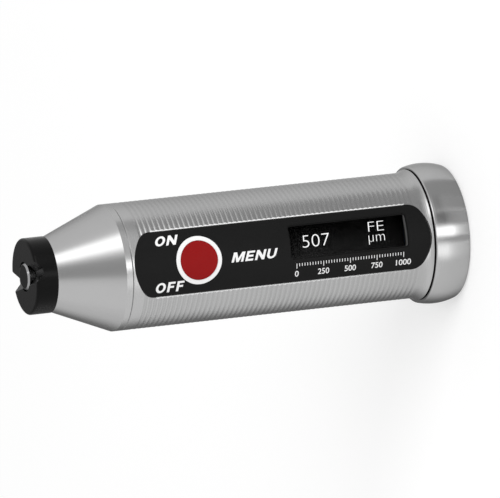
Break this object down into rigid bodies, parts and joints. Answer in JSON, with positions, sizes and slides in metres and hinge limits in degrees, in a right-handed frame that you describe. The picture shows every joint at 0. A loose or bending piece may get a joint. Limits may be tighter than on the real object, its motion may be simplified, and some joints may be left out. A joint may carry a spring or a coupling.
{
  "type": "coating thickness gauge",
  "caption": "Pen-sized coating thickness gauge: ringed aluminium barrel with display and key, cone nose with a sprung sensor in a V-grooved tip, and a screw cap over its cell.",
  "frame": {"origin": "centre of the tail cap's flat end, on which the gauge stands", "axes": "+Z along the axis from the tail cap to the probe tip, -Y towards the label, the key and the display"},
  "size_m": [0.0336, 0.0336, 0.1067],
  "materials": {
    "barrel_aluminium": "satin, turned rings",
    "nose_aluminium": "satin, fine turned",
    "cap_aluminium": "satin, fine turned",
    "black_plastic": "matte",
    "black_rubber": "matte",
    "label_foil": "printed film",
    "white_plastic": "matte",
    "red_plastic": "matte",
    "dark_plastic": "matte",
    "pane": "clear",
    "display_black": "gloss",
    "ribbon_film": "film",
    "board_green": "solder mask",
    "part_ceramic": "ceramic",
    "steel": "bright",
    "sensor_steel": "ground",
    "wear_ceramic": "ground ceramic",
    "carrier_plastic": "moulded",
    "battery_can": "printed sleeve",
    "brass": "bright",
    "copper": "enamelled wire"
  },
  "bodies": {
    "body": {"barrel": "barrel_aluminium", "nose_cone": "nose_aluminium", "probe_tip": "black_plastic", "nose_seal": "black_rubber", "label": "label_foil", "button_bezel": "white_plastic", "switch_body": "dark_plastic", "window_frame": "black_plastic", "display_window": "pane", "display_module": "display_black", "display_ribbon": "ribbon_film", "circuit_board": "board_green", "processor_chip": "dark_plastic", "board_parts": "part_ceramic", "board_screws": "steel", "carrier": "carrier_plastic", "battery": "battery_can", "positive_contact": "brass", "probe_spring": "steel", "probe_retainer": "brass"},
    "probe": {"probe_sleeve": "sensor_steel", "probe_pole": "sensor_steel", "coil_bobbin": "dark_plastic", "coil_winding": "copper", "wear_disc": "wear_ceramic"},
    "button": {"button_cap": "red_plastic", "switch_plunger": "dark_plastic"},
    "cap_ring": {"cap_seal": "black_rubber"},
    "cap": {"tail_cap": "cap_aluminium", "cap_contact": "brass", "battery_spring": "steel"}
  },
  "joints": [
    {"name": "button_press", "type": "slide", "parent": "body", "child": "button", "axis": [0, 1, 0], "range_m": [0, 0.00035], "stiffness_N_per_m": 4000},
    {"name": "probe_press", "type": "slide", "parent": "body", "child": "probe", "axis": [0, 0, -1], "range_m": [0, 0.002], "stiffness_N_per_m": 800, "springref_m": -0.001, "deforming": ["probe_spring"]},
    {"name": "cap_travel", "type": "slide", "parent": "body", "child": "cap_ring", "axis": [0, 0, -1], "range_m": [0, 0.005]},
    {"name": "cap_turn", "type": "hinge", "parent": "cap_ring", "child": "cap", "pos_m": [0, 0, 0], "axis": [0, 0, -1], "range_deg": [0, 1800]}
  ],
  "couplings": [
    {"joint": "cap_travel", "follows": "cap_turn", "m_per_rad": 0.00015915}
  ]
}
